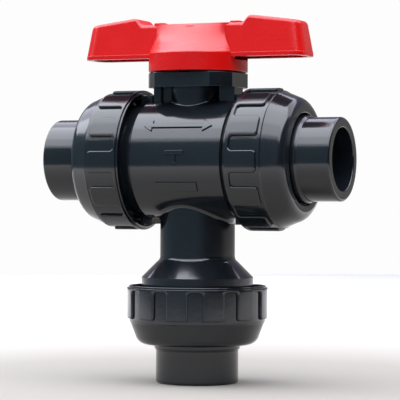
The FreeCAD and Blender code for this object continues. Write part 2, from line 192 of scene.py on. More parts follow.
# %% [markdown]
# ## Turning a shape on a lathe
#
# Nuts, sockets and threads are round, so their best start is a half outline that is spun about the
# axis. By hand that is one vertex, extruded from corner to corner round the outline and then spun.
# An arc in the outline is worked out from three points on it.

# %% The lathe
COIL_STEPS = 64                       # steps in one turn of a thread
RIDGE_ROOT, RIDGE_CREST = 1.1, 0.6    # half of the thread ridge's width at its root and at its crest


def arc(start, middle, end, steps):
    """Points on the circle through three (radius, height) points, after the start and up to the end."""
    (ax, ay), (bx, by), (cx, cy) = start, middle, end
    scale = 2 * (ax * (by - cy) + bx * (cy - ay) + cx * (ay - by))
    a2, b2, c2 = ax * ax + ay * ay, bx * bx + by * by, cx * cx + cy * cy
    ux = (a2 * (by - cy) + b2 * (cy - ay) + c2 * (ay - by)) / scale
    uy = (a2 * (cx - bx) + b2 * (ax - cx) + c2 * (bx - ax)) / scale
    reach = math.hypot(ax - ux, ay - uy)
    first = math.atan2(ay - uy, ax - ux)
    sweep = (math.atan2(cy - uy, cx - ux) - first) % math.tau
    through = (math.atan2(by - uy, bx - ux) - first) % math.tau
    if through > sweep:
        sweep -= math.tau
    angles = [first + sweep * step / steps for step in range(1, steps + 1)]
    return [(ux + reach * math.cos(angle), uy + reach * math.sin(angle)) for angle in angles]


def traced(name, outline):
    """A closed wire through (x, z) points in millimetres, extruded corner by corner from one vertex."""
    x, z = outline[0]
    bpy.ops.mesh.primitive_plane_add(size=MM, location=(x * MM, 0, z * MM))
    piece = bpy.context.object
    piece.name = name
    bpy.ops.object.transform_apply(location=True, rotation=True, scale=True)
    bpy.ops.object.mode_set(mode="EDIT")
    bpy.ops.mesh.select_mode(type="VERT")
    bpy.ops.mesh.select_all(action="SELECT")
    bpy.ops.mesh.merge(type="CENTER")
    for next_x, next_z in outline[1:] + outline[:1]:
        step = ((next_x - x) * MM, 0, (next_z - z) * MM)
        bpy.ops.mesh.extrude_region_move(TRANSFORM_OT_translate={"value": step})
        x, z = next_x, next_z
    bpy.ops.mesh.select_all(action="SELECT")
    bpy.ops.mesh.remove_doubles(threshold=WELD)
    out_of_edit()
    return piece


def lathe(name, outline, steps):
    """A closed outline turned a full circle about Z."""
    piece = traced(name, outline)
    bpy.ops.object.mode_set(mode="EDIT")
    bpy.ops.mesh.select_all(action="SELECT")
    bpy.ops.mesh.spin(steps=steps, angle=math.tau, center=(0, 0, 0), axis=(0, 0, 1))
    out_of_edit()
    tidy_mesh(piece)
    return piece


def thread(name, base_r, tip_r, start, turns, pitch):
    """A screw thread's ridge as a closed coil of trapezoid section."""
    piece = traced(name, [(base_r, start - RIDGE_ROOT), (tip_r, start - RIDGE_CREST),
                          (tip_r, start + RIDGE_CREST), (base_r, start + RIDGE_ROOT)])
    apply_modifier(piece, "SCREW", axis="Z", steps=COIL_STEPS, render_steps=COIL_STEPS, iterations=turns,
                   screw_offset=pitch * MM, use_merge_vertices=True)
    alone(piece)
    bpy.ops.object.mode_set(mode="EDIT")
    bpy.ops.mesh.select_mode(type="EDGE")
    bpy.ops.mesh.select_all(action="DESELECT")
    bpy.ops.mesh.select_non_manifold()
    bpy.ops.mesh.fill()
    out_of_edit()
    tidy_mesh(piece)
    return piece


# %% [markdown]
# ## The camera
#
# The valve is seen from the front and a little to the right, from far away with a long lens, so
# that the two side unions look almost the same size. The camera stands level with the middle.

# %% Camera
VIEW_AZIMUTH = 0.415       # radians round from the front
VIEW_ROLL = 0.004          # radians
VIEW_DISTANCE = 0.8154     # metres, from the valve's upright axis
VIEW_HEIGHT = 0.0757
VIEW_TARGET = Vector((0.00084, 0.00037, 0.07433))
LENS, SENSOR = 180.1, 36   # mm

camera_place = Vector((VIEW_DISTANCE * math.sin(VIEW_AZIMUTH),
                       -VIEW_DISTANCE * math.cos(VIEW_AZIMUTH), VIEW_HEIGHT))
forward = (VIEW_TARGET - camera_place).normalized()
right = forward.cross(Vector((0, 0, 1))).normalized()
up = right.cross(forward)
tilted_right = math.cos(VIEW_ROLL) * right + math.sin(VIEW_ROLL) * up
tilted_up = math.cos(VIEW_ROLL) * up - math.sin(VIEW_ROLL) * right
bpy.ops.object.camera_add()
camera = bpy.context.object
camera.name = "camera"
camera.matrix_world = Matrix.Translation(camera_place) @ Matrix(
    (tilted_right, tilted_up, -forward)).transposed().to_4x4()
camera.data.lens = LENS
camera.data.sensor_width = SENSOR
camera.data.dof.use_dof = False
bpy.context.scene.camera = camera
print("camera %.0f mm from the axis, %.0f mm lens" % (VIEW_DISTANCE / MM, LENS))

# %% [markdown]
# ## The floor
#
# The valve stands on a round board with matt paint, as in a small product studio. The board throws
# light back up, and that light is what shows the undersides of a dark glossy part. It could be a
# plain plane, but a round one has no corner that could come into view. Its colour is darker under the
# valve and paler further out. That darkening is painted shade under the valve, which keeps the
# undersides dark while the horizon stays bright.

# %% Floor
FLOOR_R = 0.8              # metres
FLOOR_BACK = 0.38          # how far its middle is behind the valve
PAINTED_SHADE_FROM_R, PAINTED_SHADE_TO_R = 0.12, 0.75    # metres from the valve over which the painted shade under it fades from dim to pale
TOOTH_SPACING = 3.3        # mm between the low humps of rolled paint
BUMP_HEIGHT = 0.1 * MM
bpy.ops.mesh.primitive_circle_add(vertices=96, radius=FLOOR_R, fill_type="NGON", location=(0, FLOOR_BACK, 0))
floor = bpy.context.object
floor.name = "floor"
bpy.ops.object.transform_apply(location=True)


def linear(hex_colour):
    """An sRGB hex colour as the linear RGBA that Blender works in."""
    channels = [int(hex_colour[at:at + 2], 16) / 255 for at in (1, 3, 5)]
    return tuple(c / 12.92 if c <= 0.04045 else ((c + 0.055) / 1.055) ** 2.4 for c in channels) + (1,)


def add(tree, kind, links=None, **settings):
    """Adds a node: settings name its properties or inputs, links name inputs and their sources."""
    node = tree.nodes.new("ShaderNode" + kind)
    for name, value in settings.items():
        label = name.replace("_", " ")
        if hasattr(node, name):
            setattr(node, name, value)
        else:
            node.inputs[label].default_value = value
    for name, source in (links or {}).items():
        tree.links.new(source, node.inputs[name])
    return node


def new_finish(name):
    """An empty material and its tree, with only the output node."""
    material = bpy.data.materials.new(name)
    material.use_nodes = True
    material.node_tree.nodes.clear()
    return material, material.node_tree


def connect_shader(tree, shader):
    tree.links.new(shader.outputs["BSDF"], add(tree, "OutputMaterial").inputs["Surface"])


def per_metre(spacing):
    """Noise scale whose features are about this many millimetres apart."""
    return 1 / (spacing * MM)


def two_tone(tree, source, dark, light, start, end):
    """A colour that goes from dark to light while its source goes from start to end."""
    ramp = add(tree, "ValToRGB", {"Fac": source})
    for element, colour, position in zip(ramp.color_ramp.elements, (dark, light), (start, end)):
        element.position = position
        element.color = linear(colour)
    return ramp.outputs["Color"]


def board_with_painted_shade():
    """Matt board: a soft return of light, with painted shade that darkens it under the valve and fades out
    away from it.
    """
    material, tree = new_finish("matt_board_with_painted_shade")
    place = add(tree, "TexCoord").outputs["Object"]
    reach = add(tree, "VectorMath", {"Vector": place}, operation="LENGTH").outputs["Value"]
    # painted shade: the board is darker near the valve, where the valve's shade falls, and pale further out
    tone = two_tone(tree, reach, "#8E8981", "#EFEAE4", PAINTED_SHADE_FROM_R, PAINTED_SHADE_TO_R)
    grain = add(tree, "TexNoise", {"Vector": place}, Scale=per_metre(TOOTH_SPACING), Detail=2.0)
    tooth = add(tree, "Bump", {"Height": grain.outputs["Fac"]}, Strength=0.05, Distance=BUMP_HEIGHT)
    shader = add(tree, "BsdfPrincipled", {"Base Color": tone, "Normal": tooth.outputs["Normal"]},
                 Roughness=0.95)
    connect_shader(tree, shader)
    return material


floor.data.materials.append(board_with_painted_shade())
print("floor %.1f m across" % (2 * FLOOR_R))

# %% [markdown]
# ## Soft panels and surroundings
#
# Glossy dark plastic shows its surroundings more than its own colour, so the light is built for
# its reflections: a tent of four soft panels, edge to edge from low in front to high behind, draws
# the broad pale band along every barrel. Panels that share their edges leave no dark gap between
# them in a reflection, which separate soft boxes would. The dim room behind the camera leaves the
# band under it almost black. The world is near white only where the camera looks straight at it.

# %% Soft panels and surroundings
TENT_R = 1.0              # metres, like the two below
TENT_WIDTH = 2.8
TENT_MIDDLE_X = -0.35     # the tent stands a little to the left


def tent_edge(angle_deg):
    """Place on the tent's arc: 0 is level in front of the valve, 90 above it, 180 level behind it."""
    angle = math.radians(angle_deg)
    return Vector((TENT_MIDDLE_X, -TENT_R * math.cos(angle), CENTRE_Z * MM + TENT_R * math.sin(angle)))


def soft_panel(name, low_deg, high_deg, brightness, colour):
    """One flat soft light of the tent. Its brightness is the radiance that a mirror would show."""
    near, far = tent_edge(low_deg), tent_edge(high_deg)
    across = far - near
    bpy.ops.object.light_add(type="AREA", location=(near + far) / 2)
    light = bpy.context.object
    light.name = name
    light.data.shape = "RECTANGLE"
    light.data.size = TENT_WIDTH
    light.data.size_y = across.length
    light.data.energy = brightness * math.pi * TENT_WIDTH * across.length
    light.data.color = linear(colour)[:3]
    light.rotation_euler = (math.atan2(across.z, across.y), 0, 0)


soft_panel("low_front_panel", 35, 41, 2.2, "#F4F6FF")
soft_panel("front_panel", 41, 62, 4.7, "#F4F6FF")
soft_panel("overhead_panel", 62, 108, 6.0, "#F4F6FF")
soft_panel("back_panel", 108, 140, 2.7, "#EEEEFF")

world = bpy.data.worlds.new("studio")
bpy.context.scene.world = world
world.use_nodes = True
sky = world.node_tree
sky.nodes.clear()
direction = add(sky, "SeparateXYZ", {"Vector": add(sky, "TexCoord").outputs["Generated"]})


def blended(first, second, along, start, end):
    """Colour that goes from the first to the second as a direction's component rises."""
    share = add(sky, "MapRange", {"Value": direction.outputs[along]}, interpolation_type="SMOOTHSTEP",
                From_Min=start, From_Max=end)
    mix = add(sky, "MixRGB", {"Fac": share.outputs["Result"]})
    for socket, colour in (("Color1", first), ("Color2", second)):
        if isinstance(colour, str):
            mix.inputs[socket].default_value = linear(colour)
        else:
            sky.links.new(colour, mix.inputs[socket])
    return mix.outputs["Color"]


# In front the room goes from blue grey to near black on the right, behind it is grey and mauve.
front = blended("#7A93A3", "#141515", "X", 0.3, 0.95)
back = blended("#A3A19D", "#8A8599", "Z", 0.1, 0.45)
room = blended(front, back, "Y", 0.1, 0.55)
seen = add(sky, "MixRGB", {"Fac": add(sky, "LightPath").outputs["Is Camera Ray"], "Color1": room},
           Color2=linear("#FDFDFD"))
air = add(sky, "Background", {"Color": seen.outputs["Color"]})
sky.links.new(air.outputs["Background"], add(sky, "OutputWorld").inputs["Surface"])
bpy.context.scene.view_settings.view_transform = "Standard"
print("a tent of 4 soft panels, one dim room")

# %% [markdown]
# ## Finishes
#
# Union valves of this kind are moulded in rigid PVC with a dark slate pigment. Out of a polished
# mould it is glossy, with a slight orange peel, and its refractive index is about 1.54. The lever
# is moulded ABS in signal red, a little softer in its gloss. Seats are sintered PTFE, which is
# white and waxy, and seals are EPDM rubber, which is black and dull. Each finish below starts from
# those facts. Patterns are placed by object coordinates and scaled from real sizes.

# %% Finishes
PEEL_SPACING = 1.6         # mm between the soft humps of moulded plastic; drawn a little coarse
FLOW_SPACING = 22.0        # mm between cloudy streaks where the melt cooled unevenly

GLOSS_SPREAD = 1.25        # how much the roughness varies from cloud to cloud


def moulded_plastic(name, dark, light, roughness, ior, peel):
    """Moulded plastic: a cloudy tint, uneven gloss and the faint orange peel of its skin."""
    material, tree = new_finish(name)
    place = add(tree, "TexCoord").outputs["Object"]
    clouds = add(tree, "TexNoise", {"Vector": place}, Scale=per_metre(FLOW_SPACING), Detail=3.0)
    tone = two_tone(tree, clouds.outputs["Fac"], dark, light, 0.3, 0.7)
    gloss = add(tree, "MapRange", {"Value": clouds.outputs["Fac"]})
    gloss.inputs["To Min"].default_value = roughness / GLOSS_SPREAD
    gloss.inputs["To Max"].default_value = roughness * GLOSS_SPREAD
    skin = add(tree, "TexNoise", {"Vector": place}, Scale=per_metre(PEEL_SPACING), Detail=2.0)
    bump = add(tree, "Bump", {"Height": skin.outputs["Fac"]}, Strength=peel, Distance=BUMP_HEIGHT)
    shader = add(tree, "BsdfPrincipled", {"Base Color": tone, "Roughness": gloss.outputs["Result"],
                                          "Normal": bump.outputs["Normal"]}, IOR=ior)
    connect_shader(tree, shader)
    return material


grey_upvc = moulded_plastic("moulded_grey_upvc", "#101418", "#15191D", 0.13, 1.54, 0.09)
polished_upvc = moulded_plastic("polished_grey_upvc", "#3A3F48", "#444A54", 0.1, 1.54, 0.02)
red_abs = moulded_plastic("moulded_red_abs", "#B40201", "#BC0402", 0.26, 1.47, 0.2)
white_ptfe = moulded_plastic("sintered_white_ptfe", "#E4E3DE", "#EFEEEA", 0.42, 1.38, 0.1)
black_epdm = moulded_plastic("pressed_black_epdm", "#0E0E0F", "#161617", 0.6, 1.52, 0.35)


def wear(piece, finish):
    """Gives a piece one finish all over."""
    piece.data.materials.clear()
    piece.data.materials.append(finish)


def finish_of(node):
    """The finish for an engineering node, from what the piece is made of."""
    if "o_ring" in node or "cushion" in node:
        return black_epdm
    if "seat" in node or node == "stem_washer":
        return white_ptfe
    if node == "ball":
        return polished_upvc
    return red_abs if node == "handle" else grey_upvc


for node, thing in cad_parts.items():
    for at in range(len(thing.material_slots)):
        thing.material_slots[at].material = finish_of(node)
print("5 finishes on %d nodes" % len(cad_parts))

# %% [markdown]
# ## The union nut
#
# The union nut draws the pipe socket against the body. It is a round shell with a threaded inside,
# a domed end and twelve shallow pads for a strap wrench. The shell is a lathe job. The grooves
# between the pads could be cut out one by one, but it is quicker to press them in later, all twelve
# at once, so the outline only needs a plain band where they go. At the nut's rim the outline has a
# thin lip and a step, which show as a pale and a dark line.

# %% Union nut, outline
PADS = 12
FACES_PER_PAD = 10
GROOVE_FACES = 4
PAD_DEG = 360 / PADS
GROOVE_DEG = PAD_DEG * GROOVE_FACES / FACES_PER_PAD
GROOVE_START = 25.1
GROOVE_DEPTH = 1.0
GROOVE_FLOOR_R = NUT_R - GROOVE_DEPTH
PADS_END, RING_START = 36.5, 37.0
RIM_BORE_R, RIM_BORE_END = 27.0, 24.9
LIP_R, LIP_STEP = 27.95, 0.8    # the thin lip that stands at the rim
EASE, EASE_MIDDLE = 0.3, 0.09   # a turned corner's round, and how far its middle stays from the corner
RING_END, SCORE_R = 37.8, 27.3  # behind the ring a fine line is scored all round
DOME_START, DOME_SIDE, DOME_SHOULDER = (27.2, 38.3), (26.2, 40.9), (25.2, 43.4)
DOME_TURN, DOME_RIM_R = (24.1, 45.4), 20.8
HOLE_R, HOLE_ROUND = 18.5, 0.6
FLANGE_ROOM, ROOM_START, ROOM_END = 0.5, 38.6, 42.1
THREAD_ROOT_R, THREAD_FOOT, THREAD_TOP = 24.75, 25.4, 37.2


def eased(corner_r, level):
    """The round at an outer corner of a turned piece, from the level end to the upright side."""
    return arc((corner_r - EASE, level), (corner_r - EASE_MIDDLE, level + EASE_MIDDLE),
               (corner_r, level + EASE), 3)


def nut_outline():
    step = NUT_START + LIP_STEP
    rim = [(RIM_BORE_R, RIM_BORE_END), (RIM_BORE_R, NUT_START + EASE), (RIM_BORE_R + EASE, NUT_START)]
    rim += eased(LIP_R, NUT_START) + [(LIP_R, step), (NUT_R - EASE, step)] + eased(NUT_R, step)
    band = [(NUT_R, GROOVE_START), (NUT_R, PADS_END), (GROOVE_FLOOR_R, RING_START)]
    ring = [(GROOVE_FLOOR_R - 0.04, RING_END), (SCORE_R + 0.1, RING_END + 0.15),
            (SCORE_R, RING_END + 0.25), (SCORE_R, RING_END + 0.4), DOME_START]
    dome = arc(DOME_START, DOME_SIDE, DOME_SHOULDER, 7)
    shoulder = arc(DOME_SHOULDER, DOME_TURN, (DOME_RIM_R, NUT_END), 9)
    mouth = [(HOLE_R + HOLE_ROUND, NUT_END)]
    mouth += arc(mouth[0], (HOLE_R + 0.3 * HOLE_ROUND, NUT_END - 0.3 * HOLE_ROUND),
                 (HOLE_R, NUT_END - HOLE_ROUND), 3)
    room_r = FLANGE_R + FLANGE_ROOM
    inside = [(HOLE_R, ROOM_END), (room_r, ROOM_END), (room_r, ROOM_START), (THREAD_ROOT_R, THREAD_TOP),
              (THREAD_ROOT_R, THREAD_FOOT)]
    return rim + band + ring + dome + shoulder + mouth + inside


print("nut outline: %d corners" % len(nut_outline()))


# %% [markdown]
# ## The grooves between the pads
#
# Of every ten faces round the band, four are pushed one millimetre in, together with a narrow ring
# behind the pads. Extruding in place and then scaling about the axis does this for all of them in
# one go. The corners are rounded first and then all rims get a fine bevel, because it is those fine
# bevels that catch the light on the real nut. The thread inside is a coil that is joined on last.

# %% Union nut, grooves, rims and thread
CORNER_ROUND = 1.35
EDGE_ROUND = 0.6
SHARP_DEG = 50
PITCH = 4.0
THREAD_TIP_R, THREAD_START, THREAD_TURNS = 23.15, 26.2, 2
THREAD_BURY = 0.3          # how far the coil goes into the wall, so that the two join


def round_angle(point):
    """How far round from +X a point is, in degrees from 0 to 360."""
    return math.degrees(math.atan2(point.y, point.x)) % 360


def on_groove_side(point):
    """True if a point lies on one of the planes that bound the grooves."""
    turn = round_angle(point) % PAD_DEG
    return min(turn, PAD_DEG - turn) < ROUGHLY or abs(turn - GROOVE_DEG) < ROUGHLY


def press_grooves(nut):
    """Pushes the grooves and the ring behind the pads in by one depth, which leaves the pads standing."""
    def to_press(centre, normal):
        on_band = radius(centre) > GROOVE_FLOOR_R and GROOVE_START < centre.z < RING_START
        return on_band and (round_angle(centre) % PAD_DEG < GROOVE_DEG or centre.z > PADS_END)

    pick_faces(nut, to_press)
    sink = GROOVE_FLOOR_R / NUT_R
    bpy.ops.mesh.extrude_region_move(TRANSFORM_OT_translate={"value": (0, 0, 0)})
    bpy.ops.transform.resize(value=(sink, sink, 1), center_override=(0, 0, 0))
    out_of_edit()
    pick_points(nut, lambda at: abs(at.z - RING_START) < NEAR and radius(at) < GROOVE_FLOOR_R - ROUGHLY)
    bpy.ops.transform.resize(value=(1 / sink, 1 / sink, 1), center_override=(0, 0, 0))
    out_of_edit()
    tidy_mesh(nut)


def soften_nut(nut):
    """Rounds the corners of the pads and of the grooves between them, then bevels all their rims."""
    def corner(a, b):
        level = min(abs(a.z - GROOVE_START), abs(a.z - PADS_END)) < NEAR and abs(a.z - b.z) < NEAR
        return level and abs(radius(a) - radius(b)) > GROOVE_DEPTH / 2 and on_groove_side(a)

    def on_pad_rim(end):
        return radius(end) > NUT_R - ROUGHLY and end.z > GROOVE_START - ROUGHLY

    pick_edges(nut, corner)
    bpy.ops.mesh.bevel(offset=CORNER_ROUND * MM, segments=4, affect="EDGES")
    out_of_edit()
    clear_choice(nut, "EDGE")
    bpy.ops.object.mode_set(mode="EDIT")
    bpy.ops.mesh.edges_select_sharp(sharpness=math.radians(SHARP_DEG))
    out_of_edit()
    points = nut.data.vertices
    for edge in nut.data.edges:
        ends = [points[index].co / MM for index in edge.vertices]
        edge.select = edge.select and all(on_pad_rim(end) for end in ends)
    bpy.ops.object.mode_set(mode="EDIT")
    bpy.ops.mesh.bevel(offset=EDGE_ROUND * MM, segments=3, affect="EDGES")
    out_of_edit()


def union_nut():
    nut = lathe("union_nut", nut_outline(), PADS * FACES_PER_PAD)
    press_grooves(nut)
    soften_nut(nut)
    inner_thread = thread("inner_thread", THREAD_ROOT_R + THREAD_BURY, THREAD_TIP_R, THREAD_START,
                          THREAD_TURNS, PITCH)
    combine(nut, inner_thread, "UNION")
    moulded_shading(nut)
    report(nut)
    return nut


master_nut = union_nut()

# %% [markdown]
# ## Three nuts in place
#
# The three unions of such a valve are the same part, so one nut is made and copied. It was drawn
# about +Z from the ball's centre: it is laid over to the left or the right, or turned upside down
# and moved along the longer branch. Each nut ends at an angle of its own, as nuts do when they are
# tightened by hand.

# %% Union nuts in place


def port_place(side, turn_deg):
    """Where a piece drawn about +Z from the ball's centre goes for one port."""
    turn = Matrix.Rotation(math.radians(turn_deg), 4, "Z")
    lay = {"left": Matrix.Rotation(math.radians(-90), 4, "Y"),
           "right": Matrix.Rotation(math.radians(90), 4, "Y"),
           "bottom": Matrix.Rotation(math.pi, 4, "X")}[side]
    drop = BRANCH_EXTRA if side == "bottom" else 0
    return Matrix.Translation((0, 0, (CENTRE_Z - drop) * MM)) @ lay @ turn


def copy_of(master, name):
    """A copy with its own mesh."""
    alone(master)
    bpy.ops.object.duplicate(linked=False)
    copy = bpy.context.object
    copy.name = name
    return copy


NUT_TURN = {"left": 12.6, "right": 17.4, "bottom": 8.0}   # where each nut came to rest when tight
for side, turn_deg in NUT_TURN.items():
    nut = copy_of(master_nut, side + "_union_nut")
    into_place(nut, port_place(side, turn_deg - GROOVE_DEG / 2))
    wear(nut, grey_upvc)
    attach(nut, side + "_union_nut")
    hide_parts(side + "_nut")
bpy.data.objects.remove(master_nut)

# %% [markdown]
# ## The pipe socket
#
# The end that the pipe is cemented into has a flange, which the nut pulls on, a slightly thicker
# shoulder and a plain socket with a rounded lip. Everything on it is round, so it is turned in one
# piece, with the seal's groove in the flange's face. The bore narrows a little towards its stop,
# as a solvent cement socket does.

# %% Pipe sockets
SOCKET_OUT_R = 16.8
SOCKET_R = 12.65
SOCKET_DEPTH = 19.0
FLOW_R = 10.0
SHOULDER_R, SHOULDER_END = 17.5, 48.6
FLANGE_END = 41.9
FLANGE_ROUND = 0.4
SEAL_IN_R, SEAL_OUT_R, SEAL_DEPTH = 11.25, 13.15, 1.7    # the seal's groove in the flange's face
LIP_ROUND, MOUTH_ROUND = 1.1, 0.5
BORE_TAPER = 0.15


def socket_outline():
    stop = MOUTH - SOCKET_DEPTH
    seal_floor = FLANGE_START + SEAL_DEPTH
    flange = [(FLOW_R, FLANGE_START), (SEAL_IN_R, FLANGE_START), (SEAL_IN_R, seal_floor),
              (SEAL_OUT_R, seal_floor), (SEAL_OUT_R, FLANGE_START), (FLANGE_R - FLANGE_ROUND, FLANGE_START),
              (FLANGE_R, FLANGE_START + FLANGE_ROUND), (FLANGE_R, FLANGE_END - EASE),
              (FLANGE_R - EASE, FLANGE_END)]
    shoulder = [(SHOULDER_R, FLANGE_END), (SHOULDER_R, SHOULDER_END - EASE), (SHOULDER_R - 0.1, SHOULDER_END),
                (SOCKET_OUT_R + 0.1, SHOULDER_END + 0.5), (SOCKET_OUT_R, SHOULDER_END + 0.9)]
    lip_start = (SOCKET_OUT_R, MOUTH - LIP_ROUND)
    lip = [lip_start]
    bend = LIP_ROUND * (1 - math.sqrt(0.5))
    lip += arc(lip_start, (SOCKET_OUT_R - bend, MOUTH - bend), (SOCKET_OUT_R - LIP_ROUND, MOUTH), 6)
    mouth = [(SOCKET_R + MOUTH_ROUND, MOUTH)]
    mouth += arc(mouth[0], (SOCKET_R + 0.3 * MOUTH_ROUND, MOUTH - 0.3 * MOUTH_ROUND),
                 (SOCKET_R, MOUTH - MOUTH_ROUND), 3)
    bore = [(SOCKET_R - BORE_TAPER, stop), (FLOW_R, stop)]
    return flange + shoulder + lip + mouth + bore


master_socket = lathe("pipe_socket", socket_outline(), 128)
moulded_shading(master_socket)
report(master_socket)
for side in NUT_TURN:
    socket = copy_of(master_socket, side + "_pipe_socket")
    into_place(socket, port_place(side, 0))
    wear(socket, grey_upvc)
    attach(socket, side + "_end")
    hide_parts(side + "_connector")
bpy.data.objects.remove(master_socket)

# %% [markdown]
# ## The stop plate
#
# The plate under the lever carries the end stops. Seen from above it is a disc with its sides cut
# flat, and the corners between the flats are two facets each. It is cut out of a round blank with
# one straight cut per side. The hole that keys it to the body and the track for the lever's lug
# are cut away with solids of their shape.

# %% Stop plate
PLATE_BOTTOM = plate_low.z - CENTRE_Z
PLATE_TOP = 35.25
PLATE_R = 20.2
FLAT_X = plate_high.x
FLAT_Y = plate_high.y
FACET_REACH = 20.03
FACETS_DEG = (31.8, 44.3)
BOSS_R, BOSS_FLAT = 10.7, 8.9
TRACK_IN_R, TRACK_OUT_R, TRACK_FLOOR = 13.4, 15.4, 32.65
TRACK_START_DEG, TRACK_SWEEP_DEG = -100, 200
BLANK_R = PLATE_R + 0.6    # the round blank is a little larger than the finished plate
TOP_ROUND, UNDER_ROUND = 0.5, 0.2


def block(name, x_low, x_high, y_low, y_high, z_low, z_high):
    """A rectangular solid between two corners, as a start for something else."""
    middle = Vector((x_low + x_high, y_low + y_high, z_low + z_high)) / 2
    bpy.ops.mesh.primitive_cube_add(size=1, location=middle * MM)
    piece = bpy.context.object
    piece.name = name
    piece.scale = Vector((x_high - x_low, y_high - y_low, z_high - z_low)) * MM
    bpy.ops.object.transform_apply(location=True, rotation=True, scale=True)
    return piece


def disc(name, outer_r, z_low, z_high, corners=96):
    """A round solid about Z, as a start for something else."""
    bpy.ops.mesh.primitive_cylinder_add(vertices=corners, radius=outer_r * MM, depth=(z_high - z_low) * MM,
                                        location=(0, 0, (z_low + z_high) / 2 * MM))
    piece = bpy.context.object
    piece.name = name
    bpy.ops.object.transform_apply(location=True, rotation=True, scale=True)
    return piece


def cut_flat(piece, angle_deg, reach):
    """One straight cut: takes away all that lies further out than reach in one direction."""
    outwards = Vector((math.cos(math.radians(angle_deg)), math.sin(math.radians(angle_deg)), 0))
    alone(piece)
    bpy.ops.object.mode_set(mode="EDIT")
    bpy.ops.mesh.select_all(action="SELECT")
    bpy.ops.mesh.bisect(plane_co=outwards * reach * MM, plane_no=outwards, use_fill=True, clear_outer=True)
    out_of_edit()


def ring_sector(name, outer_r, inner_r, z_low, z_high, start_deg, sweep_deg):
    """Part of a ring: its section is drawn once and spun through the angle."""
    outline = [(inner_r, z_low), (outer_r, z_low), (outer_r, z_high), (inner_r, z_high)]
    piece = traced(name, outline)
    bpy.ops.object.mode_set(mode="EDIT")
    bpy.ops.mesh.select_all(action="SELECT")
    bpy.ops.mesh.edge_face_add()
    steps = max(4, round(sweep_deg / 5))
    bpy.ops.mesh.spin(steps=steps, angle=math.radians(sweep_deg), center=(0, 0, 0), axis=(0, 0, 1))
    out_of_edit()
    tidy_mesh(piece)
    into_place(piece, Matrix.Rotation(math.radians(start_deg), 4, "Z"))
    return piece


def stop_plate():
    plate = disc("stop_plate_moulded", BLANK_R, PLATE_BOTTOM, PLATE_TOP, 48)
    facets = [(turn, FACET_REACH) for turn in FACETS_DEG]
    facets += [(180 - turn, reach) for turn, reach in facets]
    cuts = [(0, FLAT_X), (90, FLAT_Y)] + facets
    for angle_deg, reach in cuts:
        cut_flat(plate, angle_deg, reach)
        cut_flat(plate, angle_deg + 180, reach)
    pick_edges(plate, lambda a, b: min(a.z, b.z) > PLATE_TOP - NEAR)
    bpy.ops.mesh.bevel(offset=TOP_ROUND * MM, segments=3, affect="EDGES")
    out_of_edit()
    pick_edges(plate, lambda a, b: max(a.z, b.z) < PLATE_TOP - TOP_ROUND + ROUGHLY)
    bpy.ops.mesh.bevel(offset=UNDER_ROUND * MM, segments=2, affect="EDGES")
    out_of_edit()
    hole = disc("hole", BOSS_R, PLATE_BOTTOM - 1, PLATE_TOP + 1)
    for angle_deg in (90, 270):
        cut_flat(hole, angle_deg, BOSS_FLAT)
    combine(plate, hole, "DIFFERENCE")
    track = ring_sector("track", TRACK_OUT_R, TRACK_IN_R, TRACK_FLOOR, PLATE_TOP + 1,
                        TRACK_START_DEG, TRACK_SWEEP_DEG)
    combine(plate, track, "DIFFERENCE")
    into_place(plate, Matrix.Translation((0, 0, CENTRE_Z * MM)))
    moulded_shading(plate)
    report(plate)
    return plate


plate = stop_plate()
wear(plate, grey_upvc)
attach(plate, "valve_body")
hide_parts("stop_plate")

# %% [markdown]
# ## The lever's wings
#
# The lever is a thin moulded shell, open underneath: two drafted wings with an upright lip round
# their rim, and a round hub whose shoulders slope up to the wings. The two wings start as one
# straight bar. Its roof is cut across at four places and its parts are lowered or turned about the
# peaks, which gives the real outline without any modelling by eye.

# %% Lever, wings
WALL = 2.3
WING_HALF_L = handle_high.x
WING_HALF_W = 9.0
WING_BOTTOM = 41.2
LIP_TOP = 42.7
LIP_LEDGE = 0.12
TIP_ROUND = 5.5
PEAK_Z, PEAK_X = 58.0, 24.8
FOOT_Z, FOOT_X = 55.0, 22.4
TIP_DROP_DEG = 7.3
TOP_NARROWER = 1.35        # how much the draft takes off each long side by the peak
TOP_SHORTER = 2.05
LEDGE_RISE = 0.25          # the height over which the ledge above the lip runs in
ROOF_FROM_Z = FOOT_Z - 1.2
ROOF_ROUND = 1.5
ROOF_PART = 0.8            # share of the inset by which the inside's feet and peaks lie further out


def wing_bar(name, inset, bottom):
    """Both wings as one bar. inset shrinks it on all sides for the inside of the shell."""
    half_l, half_w = WING_HALF_L - inset, WING_HALF_W - inset
    bar = block(name, -half_l, half_l, -half_w, half_w, bottom, LIP_TOP)
    pick_edges(bar, lambda a, b: abs(a.z - b.z) > ROUGHLY)
    bpy.ops.mesh.bevel(offset=(TIP_ROUND - inset / 2) * MM, segments=8, affect="EDGES")
    out_of_edit()
    pick_faces(bar, lambda centre, normal: normal.z > 0.9)
    wall_rise = PEAK_Z - LIP_TOP - LEDGE_RISE - inset
    for rise, in_x, in_y in ((LEDGE_RISE, LIP_LEDGE, LIP_LEDGE), (wall_rise, TOP_SHORTER, TOP_NARROWER)):
        bpy.ops.mesh.extrude_region_move(TRANSFORM_OT_translate={"value": (0, 0, rise * MM)})
        bpy.ops.transform.resize(value=((half_l - in_x) / half_l, (half_w - in_y) / half_w, 1),
                                 center_override=(0, 0, 0))
        half_l, half_w = half_l - in_x, half_w - in_y
    out_of_edit()
    return bar


